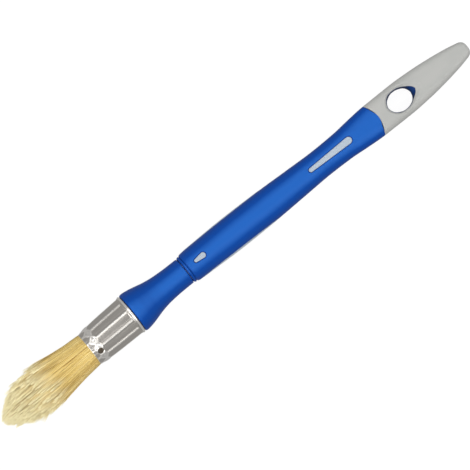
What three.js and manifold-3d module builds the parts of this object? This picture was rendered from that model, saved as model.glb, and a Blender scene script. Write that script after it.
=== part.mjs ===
// Pointed round paint brush: hog bristle, pressed steel ferrule, hard handle core with soft-grip sleeves.
//
// Millimetres, +Z up. The brush is drawn in its own straight frame: x, called "at" here, runs from the
// bristle tip (0) to the end of the tail (280), y goes across the handle and z through its thickness.
// At the end the whole brush is tipped so that it lies on its shoulder and on the flat of its tail.

import * as THREE from 'three';
import { LoftGeometry } from 'three/addons/geometries/LoftGeometry.js';
import { mergeVertices } from 'three/addons/utils/BufferGeometryUtils.js';
import Module from 'manifold-3d';

const wasm = await Module();
wasm.setup();

// ---- driving dimensions

const brushLength = 280;
const clearance = 0.3;             // gap between pieces that touch on the real brush
const reach = 15;                  // half the length of a cutting prism, more than any half-thickness
const chamfer = 0.8;               // on the hidden ends that are pushed home

const bristle = { root: 66, ringBore: 3.3 };
const plug = { front: 55, back: 65.7, radius: 3 };
const resin = { front: 66.3, back: 68.5 };

const ferrule = { mouth: 53.1, back: 79.3, wall: 0.5, panels: 12, relief: 0.3, turn: 4.4 };
const collar = { front: 77.9, foot: 10.15, crestFrom: 78.4, crestTo: 78.9, crest: 10.3, edge: 10.1 };
const panel = { back: 77.2, half: 2.1, shoulder: 59.6, pinch: 0.7 };
const arch = { front: 54.4, half: 1.9, shoulder: 54.9, pinch: 0.85 };
const crossing = { at: 57.3, half: 0.45 };
const ribs = { front: 53.9, back: 77.6 };
const pin = {
	at: 57.4, headRadius: 1.15, headTop: 8.7, headDepth: 0.6, shankRadius: 0.7, tip: 4.6, taper: 0.6,
};
const pinAngles = { front: 29.5, back: 209.5 };        // degrees from straight up, towards -y

const spigot = { front: 68.8, back: 78.9, radius: 9 };
const shoulder = { at: 80.8, radius: 10.4 };            // where the neck first touches the table
const neck = { front: 79.6, back: 111.05, skin: 1.5 };
const grip = { front: 111.35, skin: 1.7 };
const tail = {
	edge: 224, bulge: 2.7, edgeHalf: 8.5, flatAt: 240, flatHalf: 4.5, roundFrom: 276.5, blunt: 0.5,
};

// the windows, rounded drops: two end circles [ centre, radius ] joined by tangents
const smallWindow = { a: [ 117.7, 0.85 ], b: [ 121.8, 1.4 ] };
const longWindow = { a: [ 186.15, 1.05 ], b: [ 208.55, 1.75 ] };

// the hanging hole, an egg with a blunt point: [ degrees from the point, reach from the middle ]
const hole = {
	at: 239.1,
	mouth: [
		[ 0, 9.3 ], [ 9, 8.7 ], [ 17, 7.95 ], [ 30, 6.85 ], [ 47, 6.13 ], [ 64, 5.68 ], [ 90, 5.35 ],
		[ 126, 5.8 ], [ 180, 6.55 ],
	],
	throat: [
		[ 0, 6.7 ], [ 30, 6.25 ], [ 60, 5.45 ], [ 90, 5.12 ], [ 120, 5.2 ], [ 150, 5.75 ], [ 180, 6.15 ],
	],
};
const liner = { wall: 0.5, throatReach: 3.6 };
const dish = { at: 241.5, halfLength: 11.5, halfWidth: 6.6, depth: 0.7 };
const sideWindow = { front: 115, back: 163, half: 2.1 };

const handleRingPoints = 36;       // a multiple of four, so that a corner lies exactly on the table
const ferruleRingPoints = 40;
const smallRingPoints = 20;
const holePoints = 48;

// ---- curves along the brush

// A smooth curve through [ at, value ] pairs that never swings past them.
function smoothThrough( pairs ) {

	const slopeAfter = ( i ) => {

		const rise = pairs[ i + 1 ][ 1 ] - pairs[ i ][ 1 ];
		return rise / ( pairs[ i + 1 ][ 0 ] - pairs[ i ][ 0 ] );

	};

	const slopes = pairs.map( ( pair, i ) => {

		if ( i === 0 ) return slopeAfter( 0 );
		if ( i === pairs.length - 1 ) return slopeAfter( i - 1 );
		const before = slopeAfter( i - 1 );
		const after = slopeAfter( i );
		return before * after <= 0 ? 0 : 2 * before * after / ( before + after );

	} );

	return ( at ) => {

		let i = 0;
		while ( i < pairs.length - 2 && at > pairs[ i + 1 ][ 0 ] ) i ++;
		const [ from, to ] = pairs.slice( i );
		const span = to[ 0 ] - from[ 0 ];
		const u = THREE.MathUtils.clamp( ( at - from[ 0 ] ) / span, 0, 1 );
		const start = ( from[ 1 ] * ( 1 + 2 * u ) + slopes[ i ] * span * u ) * ( 1 - u ) ** 2;
		const end = ( to[ 1 ] * ( 3 - 2 * u ) + slopes[ i + 1 ] * span * ( u - 1 ) ) * u * u;
		return start + end;

	};

}

// how far the middle of the brush bows to the side
const bow = smoothThrough( [
	[ 0, - 1.2 ], [ 12, - 0.6 ], [ 53, 0.1 ], [ 98, 0.8 ], [ 187, 0 ], [ 280, - 0.5 ],
] );

const tuftRadius = smoothThrough( [
	[ 0, 0.9 ], [ 1.9, 2 ], [ 5.6, 4.3 ], [ 11.2, 7.5 ], [ 16, 9.4 ], [ 22, 10.3 ], [ 28, 10.9 ],
	[ 36, 10.05 ], [ 45, 9 ], [ 52, 8.45 ], [ 53, 7.7 ], [ 56, 8.05 ], [ 60, 8.45 ], [ 66, 8.8 ],
] );

const ferruleRadius = smoothThrough( [
	[ 53.1, 8.5 ], [ 56, 8.95 ], [ 60, 9.35 ], [ 66, 9.65 ], [ 77.6, 9.95 ],
] );

const neckRadius = smoothThrough( [
	[ 79.6, 10.2 ], [ shoulder.at, shoulder.radius ], [ 84.1, 10 ], [ 88, 9.1 ], [ 92, 8.1 ],
	[ 97.2, 7.3 ], [ 104, 6.9 ], [ 111.05, 6.8 ],
] );

const gripWidth = smoothThrough( [
	[ 112.4, 7.15 ], [ 113.2, 7.5 ], [ 115, 7.7 ], [ 120, 7.85 ], [ 140, 8.3 ], [ 160, 8.05 ], [ 178, 7.4 ],
	[ 193, 6.9 ], [ 205, 7.15 ], [ 214, 7.9 ], [ 224, 8.5 ], [ 240, 8.55 ], [ 252, 7.95 ], [ 262, 6.9 ],
	[ 271, 5.55 ], [ 276.7, 4.35 ], [ 280, 3.6 ],
] );

const gripThickness = smoothThrough( [
	[ 112.4, 7.15 ], [ 113.2, 7.5 ], [ 120, 7.75 ], [ 140, 7.9 ], [ 160, 7.3 ], [ 187, 6.3 ], [ 205, 5.65 ],
	[ 222, 5.1 ], [ 228, 5.05 ], [ 240, 4.9 ], [ 262, 4.15 ], [ 280, 3.4 ],
] );

const gripSquareness = smoothThrough( [
	[ 112.4, 2 ], [ 160, 2.05 ], [ 205, 2.25 ], [ 240, 2.8 ], [ 280, 2.5 ],
] );

const mouthReach = smoothThrough( hole.mouth );
const throatReach = smoothThrough( hole.throat );

// the table, seen from the brush: a line from under the shoulder to under the flat of the tail
const restSlope = ( shoulder.radius - tail.flatHalf ) / ( tail.flatAt - shoulder.at );
const restHalf = ( at ) => shoulder.radius - restSlope * ( at - shoulder.at );

// ---- rings and solids

// One closed ring across the brush: an oval of the given squareness, cut flat above and below at flat.
function ring( at, halfWidth, halfThickness = halfWidth, more = {} ) {

	const { squareness = 2, flat = reach, points = handleRingPoints } = more;
	const power = 2 / squareness;
	return Array.from( { length: points }, ( unused, i ) => {

		const angle = i / points * Math.PI * 2;
		const across = Math.cos( angle );
		const up = Math.sin( angle );
		const y = Math.sign( across ) * Math.abs( across ) ** power * halfWidth;
		const z = Math.sign( up ) * Math.abs( up ) ** power * halfThickness;
		return new THREE.Vector3( at, bow( at ) + y, THREE.MathUtils.clamp( z, - flat, flat ) );

	} );

}

function loft( rings ) {

	return toSolid( new LoftGeometry( rings, { capStart: true, capEnd: true } ) );

}

// A round loft from [ at, radius ] pairs.
function turned( pairs, points = ferruleRingPoints ) {

	return loft( pairs.map( ( [ at, radius ] ) => ring( at, radius, radius, { points } ) ) );

}

// [ at, radius ] pairs that follow a curve, grown by a constant.
function along( curve, stations, grow = 0 ) {

	return stations.map( ( at ) => [ at, curve( at ) + grow ] );

}

function toSolid( geometry ) {

	const bare = new THREE.BufferGeometry();
	bare.setAttribute( 'position', geometry.attributes.position );
	bare.setIndex( geometry.index );
	const merged = mergeVertices( bare );
	const mesh = new wasm.Mesh( {
		numProp: 3,
		vertProperties: new Float32Array( merged.attributes.position.array ),
		triVerts: new Uint32Array( merged.index.array ),
	} );
	return new wasm.Manifold( mesh );

}

function toMesh( name, solid, material ) {

	const mesh = solid.getMesh();
	const geometry = new THREE.BufferGeometry();
	geometry.setAttribute( 'position', new THREE.BufferAttribute( mesh.vertProperties, 3 ) );
	geometry.setIndex( new THREE.BufferAttribute( mesh.triVerts, 1 ) );
	geometry.computeVertexNormals();
	const piece = new THREE.Mesh( geometry, material );
	piece.name = name;
	return piece;

}

// The outline of a rounded drop, grown evenly by grow.
function dropOutline( { a, b }, grow = 0, steps = 9 ) {

	const turn = Math.acos( ( a[ 1 ] - b[ 1 ] ) / ( b[ 0 ] - a[ 0 ] ) );
	const shape = new THREE.Shape();
	shape.absarc( a[ 0 ], 0, a[ 1 ] + grow, turn, 2 * Math.PI - turn, false );
	shape.absarc( b[ 0 ], 0, b[ 1 ] + grow, - turn, turn, false );
	return shape.getPoints( steps );

}

// A flat-sided slab of the given depth.
function slab( shape, depth, curveSegments = 1 ) {

	return new THREE.ExtrudeGeometry( shape, { depth, bevelEnabled: false, curveSegments } );

}

// A prism right through the brush, along z, from an outline in x and y.
function prismUp( outline, sideways = 0 ) {

	const geometry = slab( new THREE.Shape( outline ), 2 * reach );
	geometry.translate( 0, sideways, - reach );
	return toSolid( geometry );

}

function dropPrism( drop, grow = 0 ) {

	return prismUp( dropOutline( drop, grow ), bow( drop.a[ 0 ] ) );

}

// The egg outline of the hanging hole. Open is 0 at the throat and 1 at the mouths.
function holeOutline( open, grow = 0 ) {

	return Array.from( { length: holePoints }, ( unused, i ) => {

		const angle = i / holePoints * 2 * Math.PI;
		const fromPoint = THREE.MathUtils.radToDeg( Math.min( angle, 2 * Math.PI - angle ) );
		const from = throatReach( fromPoint );
		const reachAt = grow + THREE.MathUtils.lerp( from, mouthReach( fromPoint ), open );
		return new THREE.Vector2( hole.at + reachAt * Math.cos( angle ), reachAt * Math.sin( angle ) );

	} );

}

// ---- bristle, plug and resin

function bristleTuft( pins ) {

	const stations = [ 0, 1.9, 5.6, 11.2, 16, 22, 28, 32, 37, 45, 52, 53, 57, bristle.root ];
	const bundle = turned( along( tuftRadius, stations ), handleRingPoints );
	const bore = turned( [
		[ plug.front - clearance, bristle.ringBore ], [ bristle.root + 1, bristle.ringBore ],
	], smallRingPoints );
	return bundle.subtract( bore ).subtract( pins );

}

function centrePlug() {

	return turned( [
		[ plug.front, plug.radius - chamfer ], [ plug.front + chamfer, plug.radius ],
		[ plug.back, plug.radius ],
	], smallRingPoints );

}

function resinSet() {

	const radius = ferruleRadius( resin.back ) - ferrule.wall - clearance;
	return turned( [ [ resin.front, radius - 0.1 ], [ resin.back, radius ] ], handleRingPoints );

}

// ---- ferrule and its pins

// A shape that stands straight up over the middle of the brush, swung around it towards -y.
function swung( geometry, at, degrees ) {

	geometry.rotateX( THREE.MathUtils.degToRad( degrees ) );
	geometry.translate( 0, bow( at ), 0 );
	return toSolid( geometry );

}

// Outline of a sunk panel: a long body and, past the crossing of the ribs, a small arch at the mouth. Each comes
// to a point at the crossing.
function panelOutline( { end, half, shoulder, pinch, point } ) {

	const shape = new THREE.Shape();
	const bend = ( shoulder + point ) / 2;
	shape.moveTo( end, - half );
	shape.lineTo( end, half );
	shape.lineTo( shoulder, half );
	shape.quadraticCurveTo( bend, half * pinch, point, 0 );
	shape.quadraticCurveTo( bend, - half * pinch, shoulder, - half );
	shape.closePath();
	return shape;

}

function panelPrisms( degrees ) {

	const outlines = [
		panelOutline( { ...panel, end: panel.back, point: crossing.at + crossing.half } ),
		panelOutline( { ...arch, end: arch.front, point: crossing.at - crossing.half } ),
	];
	return outlines.map( ( outline ) => {

		const geometry = slab( outline, reach, 4 );
		geometry.translate( 0, 0, panel.half );
		return swung( geometry, crossing.at, degrees );

	} );

}

function ferruleShell( pinHoles ) {

	const stations = [ ribs.front, 57, 60, 66, ribs.back ];
	const rolledIn = ferruleRadius( ferrule.mouth ) - 0.2;
	const outside = turned( [
		[ ferrule.mouth, rolledIn ], [ ferrule.mouth + clearance, rolledIn + 0.25 ],
		...along( ferruleRadius, stations ),
		[ collar.front, collar.foot ], [ collar.crestFrom, collar.crest ], [ collar.crestTo, collar.crest ],
		[ ferrule.back, collar.edge ],
	] );
	let raised = turned( along( ferruleRadius, stations, ferrule.relief ) );
	const panels = Array.from( { length: ferrule.panels }, ( unused, i ) => {

		return panelPrisms( ferrule.turn + i * 360 / ferrule.panels );

	} );
	raised = raised.subtract( wasm.Manifold.union( panels.flat() ) );
	const bore = turned( [
		[ ferrule.mouth - 1, ferruleRadius( ferrule.mouth ) - ferrule.wall ],
		...along( ferruleRadius, [ 57, 66, ribs.back ], - ferrule.wall ),
		[ ferrule.back + 1, ferruleRadius( ribs.back ) - ferrule.wall ],
	] );
	return outside.add( raised ).subtract( bore ).subtract( pinHoles );

}

// A round nail that points at the middle of the brush. Grown, it is the hole that the nail needs.
function nail( degrees, grow = 0, top = pin.headTop ) {

	const underHead = pin.headTop - pin.headDepth - grow;
	const profile = [
		[ 0, pin.tip - grow ], [ pin.shankRadius + grow, pin.tip + pin.taper - grow ],
		[ pin.shankRadius + grow, underHead ], [ pin.headRadius + grow, underHead ],
		[ pin.headRadius + grow, top ], [ 0, top ],
	];
	const outline = profile.map( ( [ radius, height ] ) => new THREE.Vector2( radius, height ) );
	const geometry = new THREE.LatheGeometry( outline, 16 );
	geometry.rotateX( Math.PI / 2 );
	geometry.translate( pin.at, 0, 0 );
	return swung( geometry, pin.at, degrees );

}

// ---- handle

const neckBore = [ 79.3, 81, 85, 88, 92, 97, 104, 111 ];      // stations of the hidden inner wall
const gripStations = [ 113.2, 115, 120, 130, 140, 150, 160, 170, 181, 193, 205, 214, 222, 228 ];
const tailStations = [ 240, 248, 255, 262, 269 ];
const gripLip = [ [ grip.front, 6.95 ], [ 111.7, 7.1 ], [ 112.3, 7.1 ], [ 112.5, 6.85 ], [ 112.7, 6.9 ] ];

// A ring of the grip or tail, drawn in evenly by round towards the blunt end.
function gripRing( at, round = 1 ) {

	const shape = { squareness: gripSquareness( at ), flat: restHalf( at ) * round };
	return ring( at, gripWidth( at ) * round, gripThickness( at ) * round, shape );

}

// The whole outside of the grip and tail, with the blunt end rounded over its last millimetres.
function gripOutside() {

	const end = [ 0, 0.5, 0.8, 0.93, 1 ].map( ( u ) => {

		const at = THREE.MathUtils.lerp( tail.roundFrom, brushLength, u );
		return gripRing( at, Math.max( Math.cbrt( 1 - u ** 3 ), tail.blunt ) );

	} );
	return loft( [
		...gripLip.map( ( [ at, radius ] ) => ring( at, radius ) ),
		...[ ...gripStations, ...tailStations ].map( ( at ) => gripRing( at ) ),
		...end,
	] );

}

// The core inside the sleeves: the sleeves' outside less their skin. Grown, it is the sleeves' bore.
function coreInside( grow = 0 ) {

	const neckCore = along( neckRadius, [ ...neckBore, grip.front + 1 ], grow - neck.skin - clearance );
	const skin = grip.skin + clearance - grow;
	return loft( [
		...neckCore.map( ( [ at, radius ] ) => ring( at, radius, radius, { points: smallRingPoints } ) ),
		...gripStations.slice( 1 ).map( ( at ) => {

			const shape = { squareness: gripSquareness( at ), points: smallRingPoints };
			return ring( at, gripWidth( at ) - skin, gripThickness( at ) - skin, shape );

		} ),
	] );

}

// Everything behind the curved border between soft grip and bare tail.
function tailRegion( grow = 0 ) {

	const side = 12;
	const middle = tail.edge + tail.bulge - grow;
	const corner = middle - tail.bulge * ( side / tail.edgeHalf ) ** 2;
	const shape = new THREE.Shape();
	shape.moveTo( brushLength + side, - side );
	shape.lineTo( brushLength + side, side );
	shape.lineTo( corner, side );
	shape.quadraticCurveTo( 2 * middle - corner, 0, corner, - side );
	return prismUp( shape.getPoints( 10 ), bow( tail.edge ) );

}

// The two long lens-shaped windows, one on each side of the grip.
function sideWindows( grow = 0 ) {

	const middle = ( sideWindow.front + sideWindow.back ) / 2;
	const shape = new THREE.Shape();
	shape.moveTo( sideWindow.front - grow, 0 );
	shape.quadraticCurveTo( middle, - 2 * ( sideWindow.half + grow ), sideWindow.back + grow, 0 );
	shape.quadraticCurveTo( middle, 2 * ( sideWindow.half + grow ), sideWindow.front - grow, 0 );
	const geometry = slab( shape, 2 * reach, 10 );
	geometry.translate( 0, 0, - reach );
	geometry.rotateX( Math.PI / 2 );
	return toSolid( geometry );

}

// Where the core comes out to the surface: tail, drop windows on both faces, side windows.
function bareRegions( grow = 0 ) {

	return wasm.Manifold.union( [
		tailRegion( grow ), sideWindows( grow ),
		dropPrism( smallWindow, grow ), dropPrism( longWindow, grow ),
	] );

}

// The shallow dishes around the hanging hole, one in each face of the tail.
function dishes() {

	const half = restHalf( dish.at );
	const depthScale = 4;          // the ball is taller than the dish is deep, so that its rim is crisp
	const height = dish.depth * depthScale;
	const spread = 1 / Math.sqrt( 1 - ( 1 - 1 / depthScale ) ** 2 );
	return wasm.Manifold.union( [ 1, - 1 ].map( ( face ) => {

		const geometry = new THREE.SphereGeometry( 1, 24, 16 );
		geometry.rotateX( Math.PI / 2 );
		geometry.scale( dish.halfLength * spread, dish.halfWidth * spread, height );
		geometry.translate( dish.at, bow( dish.at ), face * ( half + height - dish.depth ) );
		return toSolid( geometry );

	} ) );

}

// The open way through the liner: wide at both mouths, narrower at the throat in the middle.
function hangingHole() {

	const levels = [ - 6, - 3.4, - 1.7, 0, 1.7, 3.4, 6 ];
	const rings = levels.map( ( z ) => {

		const open = Math.min( 1, ( z / liner.throatReach ) ** 2 );
		return holeOutline( open ).map( ( { x, y } ) => new THREE.Vector3( x, y + bow( hole.at ), z ) );

	} );
	return loft( rings );

}

function handleCore( outside ) {

	const rootRadius = neckRadius( neckBore[ 0 ] ) - neck.skin - clearance;
	const plugEnd = turned( [
		[ spigot.front, spigot.radius - chamfer ], [ spigot.front + chamfer, spigot.radius ],
		[ spigot.back, spigot.radius ], [ neckBore[ 0 ], rootRadius ],
		[ neckBore[ 1 ], spigot.radius - 1 ],
	] );
	const holeInCore = prismUp( holeOutline( 1, liner.wall + clearance ), bow( hole.at ) );
	return plugEnd
		.add( coreInside() )
		.add( outside.intersect( bareRegions() ) )
		.subtract( dishes() )
		.subtract( holeInCore );

}

function neckSleeve() {

	const stations = [ 80, shoulder.at, 82.3, 85, 88, 92, 97.2, 104 ];
	const outside = turned( [
		[ neck.front, neckRadius( neck.front ) - 0.4 ], ...along( neckRadius, stations ),
		[ neck.back - 0.35, 6.8 ], [ neck.back, 6.6 ],
	], handleRingPoints );
	const bore = turned( [
		[ neck.front - 1, neckRadius( neckBore[ 0 ] ) - neck.skin ],
		...along( neckRadius, [ ...neckBore, grip.front + 1 ], - neck.skin ),
	], smallRingPoints );
	return outside.subtract( bore );

}

function gripSleeve( outside ) {

	return outside.subtract( coreInside( clearance ) ).subtract( bareRegions( clearance ) );

}

function holeLiner( outside ) {

	return outside
		.intersect( prismUp( holeOutline( 1, liner.wall ), bow( hole.at ) ) )
		.subtract( dishes() )
		.subtract( hangingHole() );

}

// ---- materials

function finish( color, roughness, metalness = 0 ) {

	return new THREE.MeshStandardMaterial( { color, roughness, metalness } );

}

const hogBristle = () => finish( 0xdcc27a, 0.7 );
const beech = () => finish( 0xc9a26b, 0.7 );
const epoxy = () => finish( 0x8a7a55, 0.35 );
const platedSteel = () => finish( 0xb4b2ac, 0.28, 1 );
const nailSteel = () => finish( 0x6d6862, 0.45, 1 );
const greyPlastic = () => finish( 0xc4c5c0, 0.42 );
const blueSoftGrip = () => finish( 0x0b52b4, 0.5 );

// ---- assembly

function paintBrush() {

	const nails = Object.values( pinAngles );
	const pinHoles = wasm.Manifold.union( nails.map( ( degrees ) => nail( degrees, clearance, reach ) ) );
	const outside = gripOutside();

	const lying = new THREE.Group();
	lying.rotation.y = Math.atan( restSlope );
	lying.add(
		toMesh( 'bristle_tuft', bristleTuft( pinHoles ), hogBristle() ),
		toMesh( 'centre_plug', centrePlug(), beech() ),
		toMesh( 'resin_set', resinSet(), epoxy() ),
		toMesh( 'ferrule', ferruleShell( pinHoles ), platedSteel() ),
		toMesh( 'ferrule_pin_front', nail( pinAngles.front ), nailSteel() ),
		toMesh( 'ferrule_pin_back', nail( pinAngles.back ), nailSteel() ),
		toMesh( 'handle_core', handleCore( outside ), greyPlastic() ),
		toMesh( 'neck_sleeve', neckSleeve(), blueSoftGrip() ),
		toMesh( 'grip_sleeve', gripSleeve( outside ), blueSoftGrip() ),
		toMesh( 'hang_hole_liner', holeLiner( outside ), blueSoftGrip() ),
	);

	const brush = new THREE.Group();
	brush.add( lying );
	brush.updateMatrixWorld( true );
	const box = new THREE.Box3().setFromObject( brush, true );
	const middle = box.getCenter( new THREE.Vector3() );
	lying.position.set( - middle.x, - middle.y, - box.min.z );
	return brush;

}

export default paintBrush();
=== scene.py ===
import math

import bpy
import numpy as np
from mathutils import Matrix, Vector


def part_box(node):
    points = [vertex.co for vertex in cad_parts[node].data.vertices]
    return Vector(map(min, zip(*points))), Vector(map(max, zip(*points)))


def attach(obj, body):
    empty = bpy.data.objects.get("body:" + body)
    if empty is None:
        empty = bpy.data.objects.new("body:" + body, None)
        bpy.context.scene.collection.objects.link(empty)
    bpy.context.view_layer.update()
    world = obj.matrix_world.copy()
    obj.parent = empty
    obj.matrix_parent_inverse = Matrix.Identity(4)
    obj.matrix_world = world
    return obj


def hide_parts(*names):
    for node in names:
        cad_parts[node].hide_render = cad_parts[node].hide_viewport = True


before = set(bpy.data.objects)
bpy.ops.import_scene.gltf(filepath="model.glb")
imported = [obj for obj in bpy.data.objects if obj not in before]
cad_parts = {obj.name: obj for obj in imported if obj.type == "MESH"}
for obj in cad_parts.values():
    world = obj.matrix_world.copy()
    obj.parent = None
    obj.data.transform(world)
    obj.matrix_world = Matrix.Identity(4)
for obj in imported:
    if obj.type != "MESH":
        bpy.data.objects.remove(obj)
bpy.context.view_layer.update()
print("frame loaded")

# The looks of a pointed round paint brush: hog bristle tuft, stamped steel ferrule, grey handle core and
# blue soft-grip sleeves. Shapes are worked out in the brush's own straight frame in millimetres: "at" runs
# from the bristle tip (0) to the end of the tail (280), y goes across the handle and z through its thickness.

lie = {"shoulderAt": 80.8, "shoulderRadius": 10.4, "flatAt": 240.0, "flatHalf": 4.5, "tipRadius": 0.9}
restSlope = (lie["shoulderRadius"] - lie["flatHalf"]) / (lie["flatAt"] - lie["shoulderAt"])
lieAngle = math.atan(restSlope)
metre = 0.001
turn = 2 * math.pi


# Curve through (at, value) pairs: a cubic between each two, whose slope at a pair is the harmonic mean of
# the slopes beside it, or nothing where they differ in sign, so it never swings past the pairs.
def smoothThrough(pairs):
    x, v = np.array(pairs, float).T
    rise = np.diff(v) / np.diff(x)
    product = rise[:-1] * rise[1:]
    total = rise[:-1] + rise[1:]
    inner = np.where(product > 0, 2 * product / np.where(total == 0, 1, total), 0)
    slope = np.concatenate([rise[:1], inner, rise[-1:]])

    def value(at):
        i = np.clip(np.searchsorted(x, at, side="right") - 1, 0, len(x) - 2)
        span = x[i + 1] - x[i]
        u = np.clip((at - x[i]) / span, 0, 1)
        start = (v[i] * (1 + 2 * u) + slope[i] * span * u) * (1 - u) ** 2
        end = (v[i + 1] * (3 - 2 * u) + slope[i + 1] * span * (u - 1)) * u * u
        return start + end

    return value


# Smooth step from 0 at low to 1 at high: 3 u^2 - 2 u^3 of the share u of the way between them.
def smoothStep(low, high, x):
    u = np.clip((x - low) / (high - low), 0, 1)
    return u * u * (3 - 2 * u)


# z held softly inside a limit above and below: half of |z| + limit - root((|z| - limit)^2 + soft^2), and a
# trace more, so that heights well inside the limit stay as they are.
def softLimit(z, limit, soft=0.35, trace=0.007):
    size = np.abs(z)
    held = 0.5 * (size + limit - np.sqrt((size - limit) ** 2 + soft**2)) + trace
    return np.sign(z) * np.minimum(size, held)


# the middle of the brush bows to the side by under a millimetre
bow = smoothThrough([(0, -1.2), (12, -0.6), (53, 0.1), (98, 0.8), (187, 0), (280, -0.5)])

tipCorner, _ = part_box("bristle_tuft")
_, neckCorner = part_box("neck_sleeve")
shiftX = tipCorner.x / metre + lie["tipRadius"] * math.sin(lieAngle)
shiftY = neckCorner.y / metre - lie["shoulderRadius"] - float(bow(lie["shoulderAt"]))
shiftZ = lie["shoulderAt"] * math.sin(lieAngle) + lie["shoulderRadius"] * math.cos(lieAngle)


# Brush frame to the lying brush in metres: bow sideways, turn by lieAngle about y, shift onto the table.
def place(at, y, z):
    at, y, z = np.broadcast_arrays(at, y, z)
    x = at * math.cos(lieAngle) + z * math.sin(lieAngle) + shiftX
    up = z * math.cos(lieAngle) - at * math.sin(lieAngle) + shiftZ
    return np.stack([x, y + bow(at) + shiftY, up], axis=-1) * metre


# half the thickness that the table leaves under the brush
def restHalf(at):
    return lie["shoulderRadius"] - restSlope * (at - lie["shoulderAt"])


# Quads of a grid of the given rows and columns, columns wrapping round, rows too when loop is set.
def gridQuads(rows, columns, loop):
    r = np.arange(rows if loop else rows - 1)[:, None]
    c = np.arange(columns)[None, :]
    nextRow = (r + 1) % rows
    nextColumn = (c + 1) % columns
    corners = [r * columns + c, r * columns + nextColumn,
               nextRow * columns + nextColumn, nextRow * columns + c]
    return np.stack(np.broadcast_arrays(*corners), axis=-1).reshape(-1, 4)


# Triangles that close one end row of a grid on a pole.
def poleFan(firstIndex, columns, pole, flip):
    c = np.arange(columns)
    a, b = firstIndex + c, firstIndex + (c + 1) % columns
    if flip:
        a, b = b, a
    return np.stack([a, b, np.full(columns, pole)], axis=-1)


# A mesh object from points, quads and triangles: smooth, its faces turned outward by the sign of the
# volume that they enclose.
def meshObject(name, points, quads, triangles, material, uv=None):
    volume = 0.0
    for face in (quads[:, [0, 1, 2]], quads[:, [0, 2, 3]], triangles):
        a, b, c = (points[face[:, k]] for k in range(3))
        volume += np.sum(a * np.cross(b, c))
    if volume < 0:
        quads, triangles = quads[:, ::-1], triangles[:, ::-1]
    loops = np.concatenate([quads.ravel(), triangles.ravel()]).astype(np.int32)
    sizes = np.concatenate([np.full(len(quads), 4), np.full(len(triangles), 3)])
    starts = np.concatenate([[0], np.cumsum(sizes)[:-1]]).astype(np.int32)
    mesh = bpy.data.meshes.new(name)
    mesh.vertices.add(len(points))
    mesh.vertices.foreach_set("co", points.astype(np.float32).ravel())
    mesh.loops.add(len(loops))
    mesh.loops.foreach_set("vertex_index", loops)
    mesh.polygons.add(len(sizes))
    mesh.polygons.foreach_set("loop_start", starts)
    mesh.update(calc_edges=True)
    mesh.shade_smooth()
    if uv is not None:
        layer = mesh.uv_layers.new(name="along")
        layer.data.foreach_set("uv", uv[loops].astype(np.float32).ravel())
    mesh.materials.append(material)
    piece = bpy.data.objects.new(name, mesh)
    bpy.context.scene.collection.objects.link(piece)
    return piece


# Closed surface from rows of rings: the rows close into a loop, or each end closes on a pole in its middle.
def ringSurface(name, rings, material, loop=False, uv=None):
    rows, columns = rings.shape[:2]
    points = rings.reshape(-1, 3)
    none = np.zeros((0, 3), int)
    if loop:
        return meshObject(name, points, gridQuads(rows, columns, True), none, material, uv)
    poles = np.stack([rings[0].mean(0), rings[-1].mean(0)])
    first, last = len(points), len(points) + 1
    fans = [poleFan(0, columns, first, True), poleFan((rows - 1) * columns, columns, last, False)]
    if uv is not None:
        uv = np.concatenate([uv, uv[:1], uv[-1:]])
    points = np.concatenate([points, poles])
    quads = gridQuads(rows, columns, False)
    return meshObject(name, points, quads, np.concatenate(fans), material, uv)


# Hands a piece over: it rides the one body and replaces the named node, which is hidden.
def addPiece(piece, node):
    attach(piece, "root")
    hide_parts(node)


# A row of angles that step evenly round a full turn.
def columnAngles(count):
    return (np.arange(count) / count * turn)[None, :]


# Signed distance, negative inside, to a drop: two circles of given centre and radius joined by tangents.
def dropDistance(at, y, frontAt, frontRadius, backAt, backRadius):
    length = backAt - frontAt
    lean = (frontRadius - backRadius) / length
    upright = np.sqrt(1 - lean**2)
    across, ahead = np.abs(y), at - frontAt
    side = upright * ahead - lean * across
    nearFront = np.hypot(across, ahead) - frontRadius
    nearBack = np.hypot(across, ahead - length) - backRadius
    between = upright * across + lean * ahead - frontRadius
    return np.where(side < 0, nearFront, np.where(side > upright * length, nearBack, between))


# Distance from a centre, along each angle, to where a distance function turns positive, found by halving.
def reachOutline(distance, centreAt, angle, limit, halvings=34):
    low = np.zeros(np.shape(angle))
    high = np.full(np.shape(angle), float(limit))
    for _ in range(halvings):
        middle = (low + high) / 2
        inside = distance(centreAt + middle * np.cos(angle), middle * np.sin(angle)) < 0
        low, high = np.where(inside, middle, low), np.where(inside, high, middle)
    return (low + high) / 2


# Reach of an egg-shaped outline from its middle, read from (degrees from its point, reach) pairs.
def eggReach(pairs):
    reach = smoothThrough(pairs)
    return lambda angle: reach(np.degrees(np.abs((angle + math.pi) % turn - math.pi)))


# Angles that step evenly along an outline, so that its long flanks get as many columns as its ends.
def evenAngles(distance, centreAt, limit, count, fineCount=6001):
    fine = np.linspace(0, turn, fineCount)
    radius = reachOutline(distance, centreAt, fine, limit)
    x, y = radius * np.cos(fine), radius * np.sin(fine)
    run = np.concatenate([[0], np.cumsum(np.hypot(np.diff(x), np.diff(y)))])
    return np.interp(np.arange(count) / count * run[-1], run, fine)


def linear(hexColour):
    # sRGB hex to linear light
    parts = [int(hexColour[i:i + 2], 16) / 255 for i in (1, 3, 5)]
    return [p / 12.92 if p <= 0.04045 else ((p + 0.055) / 1.055) ** 2.4 for p in parts] + [1.0]


def addNode(tree, kind, links=None, **settings):
    # one node with its settings; links gives, for an input's name or number, the socket that feeds it
    node = tree.nodes.new(kind)
    inputs = settings.pop("inputs", {})
    for key, value in settings.items():
        setattr(node, key, value)
    for key, value in inputs.items():
        node.inputs[key].default_value = value
    for key, socket in (links or {}).items():
        tree.links.new(socket, node.inputs[key])
    return node


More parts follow.
